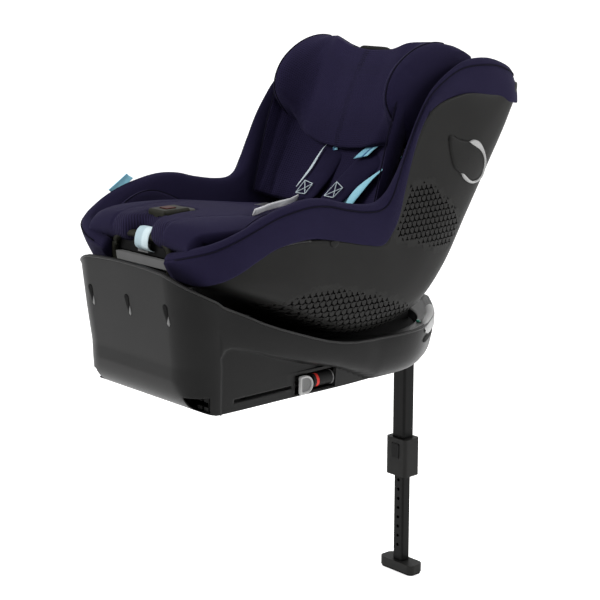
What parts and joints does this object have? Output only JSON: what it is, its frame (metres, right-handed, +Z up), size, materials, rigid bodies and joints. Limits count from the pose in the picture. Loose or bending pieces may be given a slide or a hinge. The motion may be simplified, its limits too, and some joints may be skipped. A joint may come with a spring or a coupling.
{
  "type": "convertible child car seat",
  "caption": "Swivelling bucket child seat with reclining shell, height-adjustable headrest and harness on an ISOFIX base with rebound panel and folding support leg.",
  "frame": {"origin": "on the base's underside below the swivel axis", "axes": "+Z up along the swivel axis, -Y towards the rebound panel and the ISOFIX connectors, +Y towards the support leg, +X to the child's left"},
  "size_m": [0.4377, 0.8146, 1.0902],
  "materials": {
    "base_plastic": "satin moulded, fine grain",
    "shell_plastic": "satin moulded, fine grain",
    "inner_plastic": "plain moulded",
    "light_plastic": "light grey moulded",
    "red_plastic": "red signal plastic",
    "green_window": "clear green window",
    "steel": "zinc plated",
    "leg_metal": "black powder coat",
    "rubber": "soft black rubber",
    "foam": "expanded foam",
    "navy_fabric": "knitted cover fabric",
    "webbing": "woven belt webbing"
  },
  "bodies": {
    "base": {"base_lower_shell": "base_plastic", "base_upper_shell": "base_plastic", "base_screws": "steel", "anti_slip_pads": "rubber", "bearing_race": "steel", "bearing_balls": "steel", "leg_bracket": "steel", "leg_hinge_pin": "steel", "isofix_guides": "inner_plastic", "isofix_indicator_tubes": "inner_plastic", "isofix_indicator_rings": "red_plastic", "status_window": "green_window"},
    "turntable": {"turntable": "inner_plastic", "recline_rails": "inner_plastic"},
    "bucket": {"seat_shell": "shell_plastic", "recline_runners": "inner_plastic", "side_cushion_left": "navy_fabric", "side_cushion_right": "navy_fabric", "side_cover_left": "navy_fabric", "side_cover_right": "navy_fabric", "top_cover": "navy_fabric", "seat_cushion": "navy_fabric", "seat_core": "foam", "back_cushion": "navy_fabric", "back_core": "foam", "front_cover": "navy_fabric", "headrest_rods": "steel", "buckle_housing": "inner_plastic", "crotch_strap": "webbing", "buckle_tongues": "steel", "harness_strap_left": "webbing", "harness_strap_right": "webbing", "front_housing": "shell_plastic", "adjuster_strap": "webbing"},
    "headrest": {"headrest_cushion": "navy_fabric", "headrest_frame": "inner_plastic", "shoulder_pads": "navy_fabric"},
    "headrest_lever": {"headrest_lever": "inner_plastic"},
    "buckle_button": {"buckle_button": "red_plastic"},
    "recline_handle": {"recline_handle": "light_plastic"},
    "adjuster_button": {"adjuster_button": "light_plastic"},
    "leg_upper": {"leg_upper_tube": "leg_metal", "leg_collar": "shell_plastic"},
    "leg_button": {"leg_button": "inner_plastic"},
    "leg_lower": {"leg_lower_tube": "leg_metal", "leg_foot": "shell_plastic", "leg_sole": "rubber"},
    "lock_pin": {"lock_pin": "steel"},
    "side_flap_left": {"side_impact_flap_left": "shell_plastic"},
    "isofix_arm_left": {"isofix_arm_left": "steel", "isofix_head_left": "steel"},
    "isofix_hook_left": {"isofix_hook_left": "steel"},
    "isofix_button_left": {"isofix_button_left": "light_plastic"},
    "rotation_button_left": {"rotation_button_left": "light_plastic"},
    "side_flap_right": {"side_impact_flap_right": "shell_plastic"},
    "isofix_arm_right": {"isofix_arm_right": "steel", "isofix_head_right": "steel"},
    "isofix_hook_right": {"isofix_hook_right": "steel"},
    "isofix_button_right": {"isofix_button_right": "light_plastic"},
    "rotation_button_right": {"rotation_button_right": "light_plastic"}
  },
  "joints": [
    {"name": "seat_swivel", "type": "hinge", "parent": "base", "child": "turntable", "pos_m": [0, 0, 0.0625], "axis": [0, 0, 1], "continuous": true},
    {"name": "seat_recline", "type": "hinge", "parent": "turntable", "child": "bucket", "pos_m": [0, -0.06, 0.4], "axis": [-1, 0, 0], "range_deg": [0, 15]},
    {"name": "headrest_height", "type": "slide", "parent": "bucket", "child": "headrest", "axis": [0, 0.4226, 0.9063], "range_m": [0, 0.11]},
    {"name": "headrest_release", "type": "slide", "parent": "headrest", "child": "headrest_lever", "axis": [0, 0.4226, 0.9063], "range_m": [0, 0.006], "stiffness_N_per_m": 900},
    {"name": "buckle_press", "type": "slide", "parent": "bucket", "child": "buckle_button", "axis": [0, 0, -1], "range_m": [0, 0.004], "stiffness_N_per_m": 2500},
    {"name": "recline_pull", "type": "slide", "parent": "bucket", "child": "recline_handle", "axis": [0, -1, 0], "range_m": [0, 0.006], "stiffness_N_per_m": 1500},
    {"name": "adjuster_press", "type": "slide", "parent": "bucket", "child": "adjuster_button", "axis": [0, 1, 0], "range_m": [0, 0.004], "stiffness_N_per_m": 1500},
    {"name": "leg_fold", "type": "hinge", "parent": "base", "child": "leg_upper", "pos_m": [0, 0.221, 0.024], "axis": [-1, 0, 0], "range_deg": [0, 90]},
    {"name": "leg_button_press", "type": "slide", "parent": "leg_upper", "child": "leg_button", "axis": [0, 1, 0], "range_m": [0, 0.0025], "stiffness_N_per_m": 2000},
    {"name": "leg_length", "type": "slide", "parent": "leg_upper", "child": "leg_lower", "axis": [0, 0, 1], "range_m": [-0.04, 0.16]},
    {"name": "side_flap_left_open", "type": "hinge", "parent": "bucket", "child": "side_flap_left", "pos_m": [0.2085, 0.13, 0.409], "axis": [0, 0.5145, -0.8575], "range_deg": [0, 25]},
    {"name": "isofix_left_extend", "type": "slide", "parent": "base", "child": "isofix_arm_left", "axis": [0, -1, 0], "range_m": [0, 0.13]},
    {"name": "isofix_left_hook", "type": "hinge", "parent": "isofix_arm_left", "child": "isofix_hook_left", "pos_m": [0.14, -0.362, 0.014], "axis": [-1, 0, 0], "range_deg": [0, 28], "stiffness_Nm_per_rad": 0.05},
    {"name": "isofix_left_release", "type": "slide", "parent": "isofix_arm_left", "child": "isofix_button_left", "axis": [1, 0, 0], "range_m": [-0.003, 0], "stiffness_N_per_m": 1500},
    {"name": "rotation_left_press", "type": "slide", "parent": "base", "child": "rotation_button_left", "axis": [-0.6201, -0.7701, 0.15], "range_m": [0, 0.005], "stiffness_N_per_m": 2000},
    {"name": "side_flap_right_open", "type": "hinge", "parent": "bucket", "child": "side_flap_right", "pos_m": [-0.2085, 0.13, 0.409], "axis": [0, -0.5145, 0.8575], "range_deg": [0, 25]},
    {"name": "isofix_right_extend", "type": "slide", "parent": "base", "child": "isofix_arm_right", "axis": [0, -1, 0], "range_m": [0, 0.13]},
    {"name": "isofix_right_hook", "type": "hinge", "parent": "isofix_arm_right", "child": "isofix_hook_right", "pos_m": [-0.14, -0.362, 0.014], "axis": [-1, 0, 0], "range_deg": [0, 28], "stiffness_Nm_per_rad": 0.05},
    {"name": "isofix_right_release", "type": "slide", "parent": "isofix_arm_right", "child": "isofix_button_right", "axis": [-1, 0, 0], "range_m": [-0.003, 0], "stiffness_N_per_m": 1500},
    {"name": "rotation_right_press", "type": "slide", "parent": "base", "child": "rotation_button_right", "axis": [0.6201, -0.7701, 0.15], "range_m": [0, 0.005], "stiffness_N_per_m": 2000},
    {"name": "lock_pin_draw", "type": "slide", "parent": "base", "child": "lock_pin", "axis": [0, 1, 0], "range_m": [0, 0.008], "stiffness_N_per_m": 800}
  ],
  "couplings": [
    {"joint": "lock_pin_draw", "follows": "rotation_left_press", "ratio": 1.6}
  ]
}
